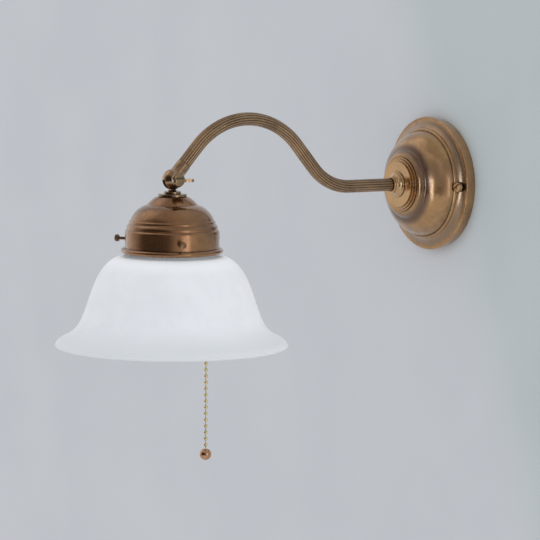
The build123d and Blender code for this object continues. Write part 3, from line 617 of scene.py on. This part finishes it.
def make_stage():
    """The painted wall and a pale floor."""
    # Painted shade: the wall drifts darker and greener towards the right and the top
    wall_paint = stage_paint("wall_paint", WALL_BLUE_GREY, WALL_SHADED_GREEN_GREY, (1.0, 0.0, 0.45), -0.03, 0.08)
    floor_paint = stage_paint("floor_paint", FLOOR_GREY, FLOOR_GREY, (0, 1, 0), 0, 1)
    bottom_left, bottom_right = (-STAGE_SIDE, WALL_Y, STAGE_BOTTOM), (STAGE_SIDE, WALL_Y, STAGE_BOTTOM)
    top_left, top_right = (-STAGE_SIDE, WALL_Y, STAGE_TOP), (STAGE_SIDE, WALL_Y, STAGE_TOP)
    near_left, near_right = (-STAGE_SIDE, STAGE_FRONT, STAGE_BOTTOM), (STAGE_SIDE, STAGE_FRONT, STAGE_BOTTOM)
    stage_plane("stage_wall", [bottom_left, bottom_right, top_right, top_left], wall_paint)
    stage_plane("stage_floor", [near_left, near_right, bottom_right, bottom_left], floor_paint)


# ---------------------------------------------------------------- light
# What polished metal sees of the studio. A patch is an azimuth and an elevation, the half-angles
# within which it is full and beyond which it is gone, and the light that it adds.
PATCHES = (
    (-165, 8, 8, 32, 0.35),
    (-145, 48, 6, 28, 0.45),
    (13, 3, 6, 24, 1.3),
)
# The dark patch takes a share of the light instead.
DARK_AHEAD = (-75, -2, 28, 60, 0.92)
FLOOR_LIGHT, LEVEL_LIGHT, OVERHEAD_LIGHT = 0.55, 0.5, 0.4

# What lights all that is matt, and what the camera sees past the wall's edges
PLAIN_LIGHT = 0.9
BACKGROUND = srgb(182, 187, 191)

# The softboxes' aims, a point in the head and one at the rose's right side, and their tints
HEAD_AIM = (0, HEAD_Y, -0.06)
ROSE_AIM = (0.035, -0.03, 0.0)
WINDOW_BLUE, VEIL_WHITE = (0.78, 0.88, 1.0), (0.94, 0.97, 1.0)


def direction(azimuth, elevation):
    """The way to a point of the sky at that azimuth from +X and that elevation, in degrees."""
    a, e = radians(azimuth), radians(elevation)
    return Vector((cos(a) * cos(e), sin(a) * cos(e), sin(e)))


def make_world():
    """Polished metal mirrors a studio that is dark ahead, with soft bright patches. Matt surfaces get
    a plain light instead, and the camera sees one grey.
    """
    world = bpy.data.worlds.new("studio")
    world.use_nodes = True
    bpy.context.scene.world = world
    sky = NodeTree(world.node_tree)
    way = sky.node("ShaderNodeTexCoord").outputs["Generated"]
    up = sky.dot(way, (0, 0, 1))

    def patch(azimuth, elevation, full, gone, outside, inside):
        """A round patch of the sky that fades between two half-angles."""
        near = sky.dot(way, direction(azimuth, elevation))
        return sky.ramp(near, cos(radians(gone)), cos(radians(full)), outside, inside)

    def background(colour, strength):
        return sky.node("ShaderNodeBackground", {"Color": colour, "Strength": strength}).outputs[0]

    def either(choice, first, second):
        """The first shader, or the second for rays of the chosen kind."""
        return sky.node("ShaderNodeMixShader", {0: choice, 1: first, 2: second}).outputs[0]

    above = sky.ramp(up, 0.0, 0.8, LEVEL_LIGHT, OVERHEAD_LIGHT)
    below = sky.ramp(up, -0.6, 0.0, FLOOR_LIGHT - LEVEL_LIGHT, 0.0)
    *dark_patch, share = DARK_AHEAD
    total = sky.math("MULTIPLY", sky.math("ADD", above, below), patch(*dark_patch, 1.0, 1.0 - share))
    for *bright_patch, strength in PATCHES:
        total = sky.math("ADD", total, patch(*bright_patch, 0.0, strength))
    shaped = background((1.0, 0.99, 0.98, 1), total)
    plain = background((0.98, 0.99, 1.0, 1), sky.ramp(up, -0.8, 0.8, 0.9 * PLAIN_LIGHT, 1.1 * PLAIN_LIGHT))
    path = sky.node("ShaderNodeLightPath").outputs
    lit = either(path["Is Glossy Ray"], plain, shaped)
    seen = either(path["Is Camera Ray"], lit, background(BACKGROUND, 1.0))
    sky.node("ShaderNodeOutputWorld", {"Surface": seen})


def soft_light(name, azimuth, elevation, distance, target, size, power, colour=(1, 1, 1)):
    """A rectangular softbox, seen from target at that azimuth from +X and that elevation."""
    way = direction(azimuth, elevation)
    data = bpy.data.lights.new(name, "AREA")
    data.shape = "RECTANGLE"
    data.size, data.size_y = size
    data.energy = power
    data.color = colour
    light = bpy.data.objects.new(name, data)
    light.location = Vector(target) + way * distance
    light.rotation_mode = "QUATERNION"
    light.rotation_quaternion = way.to_track_quat("Z", "Y")
    light.visible_camera = False
    bpy.context.scene.collection.objects.link(light)
    return light


def make_lights():
    """A softbox at the side for the whole lamp, and two for the rose and what is fixed on it."""
    soft_light("side", 13, 0, 1.5, HEAD_AIM, size=(0.4, 1.1), power=2)
    window = soft_light("window", -84, -8, 1.4, ROSE_AIM, size=(0.52, 0.8), power=4.4, colour=WINDOW_BLUE)
    veil = soft_light("veil", -70, 24, 1.4, ROSE_AIM, size=(2.2, 1.6), power=3.6, colour=VEIL_WHITE)
    lit_by_both = bpy.data.collections.new("rose_lights_shine_on")
    for name in ("wall_rose", "rose_screws", "arm_collar"):
        lit_by_both.objects.link(nodes[name])
    for light in (window, veil):
        light.light_linking.receiver_collection = lit_by_both


make_camera()
make_chain()
for number, angle in enumerate(SCREW_ANGLES, start=1):
    make_gallery_screw(number, angle)
make_stage()
make_world()
make_lights()

bpy.context.scene.view_settings.view_transform = "Standard"
